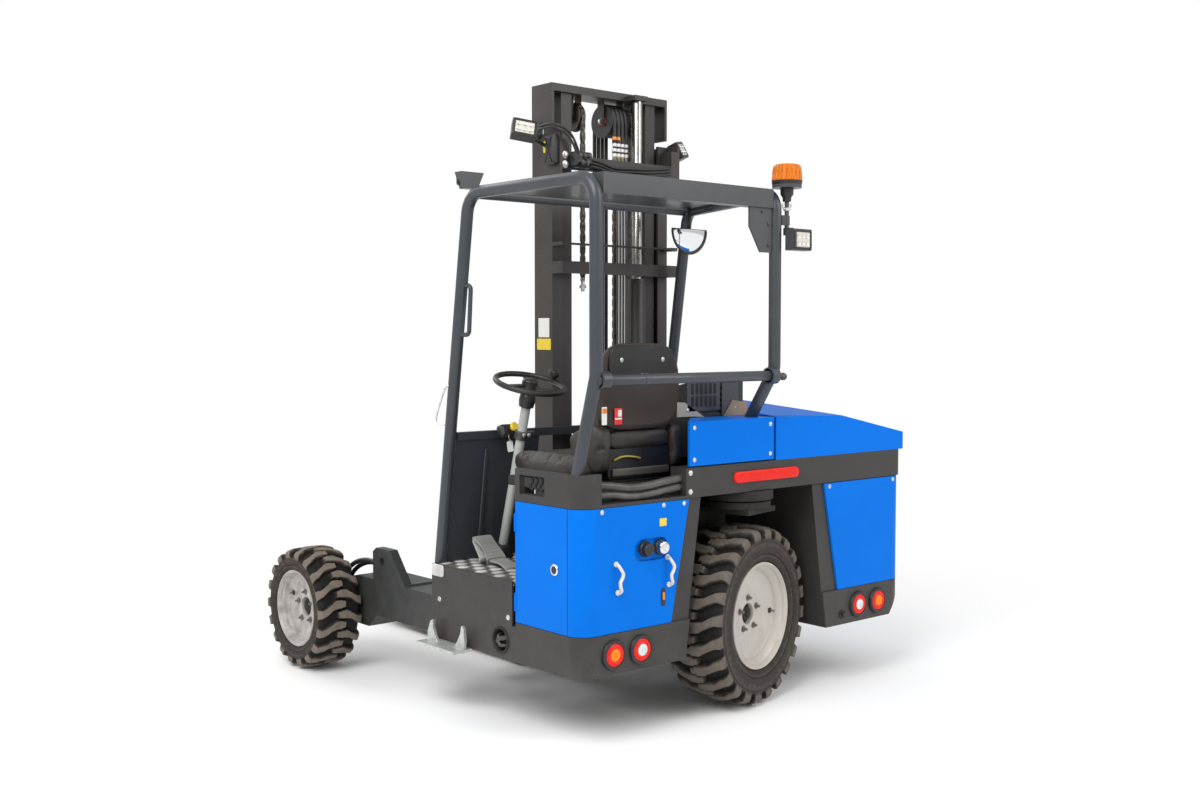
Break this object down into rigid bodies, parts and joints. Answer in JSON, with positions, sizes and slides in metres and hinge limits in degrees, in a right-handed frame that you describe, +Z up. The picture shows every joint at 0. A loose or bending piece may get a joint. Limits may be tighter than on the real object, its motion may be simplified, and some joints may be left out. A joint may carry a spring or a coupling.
{
  "type": "truck-mounted forklift",
  "caption": "Three-wheeled truck-mounted forklift with a blue and dark grey body, open driver's guard, two-stage reach mast and forks on straddle arms.",
  "frame": {"origin": "middle of the overall box, on the ground under the wheels", "axes": "+X to the vehicle's right, +Y forward along the forks, +Z up"},
  "size_m": [2.328, 2.5502, 2.6533],
  "materials": {
    "frame_paint": "satin",
    "panel_blue": "gloss",
    "guard_paint": "satin",
    "mast_paint": "satin",
    "fork_paint": "satin",
    "rim_paint": "satin",
    "tyre_rubber": "matte",
    "zinc": "satin",
    "rod_chrome": "polished",
    "chain_steel": "oiled",
    "hose_rubber": "matte",
    "black_plastic": "matte",
    "seat_vinyl": "satin",
    "engine_iron": "matte",
    "column_paint": "satin",
    "amber_lens": "gloss",
    "red_lens": "gloss",
    "mirror_glass": "polished"
  },
  "bodies": {
    "chassis": {"bay_walls": "frame_paint", "beacon": "amber_lens", "boarding_step": "zinc", "body_panels": "panel_blue", "bulkhead": "guard_paint", "column_and_pedals": "column_paint", "console": "black_plastic", "engine_block": "engine_iron", "floor_plate": "zinc", "guard_left": "guard_paint", "guard_right": "guard_paint", "hood_box": "panel_blue", "mirror": "mirror_glass", "rear_body": "frame_paint", "rear_lamps": "red_lens", "roof": "guard_paint", "seat_back": "black_plastic", "seat_base": "frame_paint", "seat_cushion": "seat_vinyl", "skirts": "frame_paint", "straddle_frame": "frame_paint", "wheel_arch": "frame_paint"},
    "rear_yoke_body": {"rear_yoke": "frame_paint"},
    "rear_wheel_body": {"rear_tyre": "tyre_rubber", "rear_rim": "rim_paint"},
    "front_wheel_left_body": {"front_tyre_left": "tyre_rubber", "front_rim_left": "rim_paint"},
    "front_wheel_right_body": {"front_tyre_right": "tyre_rubber", "front_rim_right": "rim_paint"},
    "mast_base_body": {"mast_base": "frame_paint"},
    "outer_mast_body": {"outer_mast": "mast_paint"},
    "inner_mast_body": {"inner_mast": "mast_paint", "lift_rod": "rod_chrome", "lift_chains": "chain_steel", "mast_hoses": "hose_rubber"},
    "fork_carriage_body": {"fork_carriage": "mast_paint"},
    "fork_left_body": {"fork_left": "fork_paint"},
    "fork_right_body": {"fork_right": "fork_paint"},
    "tilt_barrel_left_body": {"tilt_barrel_left": "mast_paint"},
    "tilt_barrel_right_body": {"tilt_barrel_right": "mast_paint"},
    "tilt_rod_left_body": {"tilt_rod_left": "rod_chrome"},
    "tilt_rod_right_body": {"tilt_rod_right": "rod_chrome"},
    "hood_body": {"engine_hood": "panel_blue"},
    "left_door_body": {"left_door": "panel_blue"},
    "steering_wheel_body": {"steering_wheel": "black_plastic"}
  },
  "joints": [
    {"name": "rear_steer", "type": "hinge", "parent": "chassis", "child": "rear_yoke_body", "pos_m": [0, -1.01715, 0.86], "axis": [0, 0, 1], "range_deg": [-2, 157]},
    {"name": "rear_wheel_spin", "type": "hinge", "parent": "rear_yoke_body", "child": "rear_wheel_body", "pos_m": [0, -1.01715, 0.375], "axis": [0.2164, -0.9763, 0], "continuous": true},
    {"name": "front_wheel_left_spin", "type": "hinge", "parent": "chassis", "child": "front_wheel_left_body", "pos_m": [-1.056, 0.68885, 0.278], "axis": [1, 0, 0], "continuous": true},
    {"name": "front_wheel_right_spin", "type": "hinge", "parent": "chassis", "child": "front_wheel_right_body", "pos_m": [1.056, 0.68885, 0.278], "axis": [1, 0, 0], "continuous": true},
    {"name": "mast_reach", "type": "slide", "parent": "chassis", "child": "mast_base_body", "axis": [0, 1, 0], "range_m": [0, 0.5]},
    {"name": "mast_tilt", "type": "hinge", "parent": "mast_base_body", "child": "outer_mast_body", "pos_m": [0, -0.15315, 0.45], "axis": [-1, 0, 0], "range_deg": [-2, 6]},
    {"name": "mast_lift", "type": "slide", "parent": "outer_mast_body", "child": "inner_mast_body", "axis": [0, 0, 1], "range_m": [0, 1.45]},
    {"name": "carriage_lift", "type": "slide", "parent": "inner_mast_body", "child": "fork_carriage_body", "axis": [0, 0, 1], "range_m": [0, 1.45]},
    {"name": "fork_left_spread", "type": "slide", "parent": "fork_carriage_body", "child": "fork_left_body", "axis": [1, 0, 0], "range_m": [-0.185, 0.005]},
    {"name": "fork_right_spread", "type": "slide", "parent": "fork_carriage_body", "child": "fork_right_body", "axis": [1, 0, 0], "range_m": [-0.005, 0.185]},
    {"name": "tilt_barrel_left_swing", "type": "hinge", "parent": "mast_base_body", "child": "tilt_barrel_left_body", "pos_m": [-0.428, -0.26915, 0.372], "axis": [-1, 0, 0], "range_deg": [-2, 6]},
    {"name": "tilt_rod_left_slide", "type": "slide", "parent": "tilt_barrel_left_body", "child": "tilt_rod_left_body", "axis": [0, 0.2286, 0.9735], "range_m": [-0.01, 0.03]},
    {"name": "tilt_barrel_right_swing", "type": "hinge", "parent": "mast_base_body", "child": "tilt_barrel_right_body", "pos_m": [0.428, -0.26915, 0.372], "axis": [-1, 0, 0], "range_deg": [-2, 6]},
    {"name": "tilt_rod_right_slide", "type": "slide", "parent": "tilt_barrel_right_body", "child": "tilt_rod_right_body", "axis": [0, 0.2286, 0.9735], "range_m": [-0.01, 0.03]},
    {"name": "hood_open", "type": "hinge", "parent": "chassis", "child": "hood_body", "pos_m": [0.5, -0.35515, 1.262], "axis": [-1, 0, 0], "range_deg": [0, 55]},
    {"name": "left_door_open", "type": "hinge", "parent": "chassis", "child": "left_door_body", "pos_m": [-0.962, -0.75215, 0.66], "axis": [0, 0, 1], "range_deg": [-100, 0]},
    {"name": "steering_turn", "type": "hinge", "parent": "chassis", "child": "steering_wheel_body", "pos_m": [-0.65, -0.44215, 1.336], "axis": [0, -0.2661, 0.9639], "continuous": true}
  ],
  "couplings": [
    {"joint": "carriage_lift", "follows": "mast_lift", "ratio": 1},
    {"joint": "tilt_barrel_left_swing", "follows": "mast_tilt", "ratio": 0.8075},
    {"joint": "tilt_rod_left_slide", "follows": "mast_tilt", "m_per_rad": 0.092},
    {"joint": "tilt_barrel_right_swing", "follows": "mast_tilt", "ratio": 0.8075},
    {"joint": "tilt_rod_right_slide", "follows": "mast_tilt", "m_per_rad": 0.092}
  ]
}
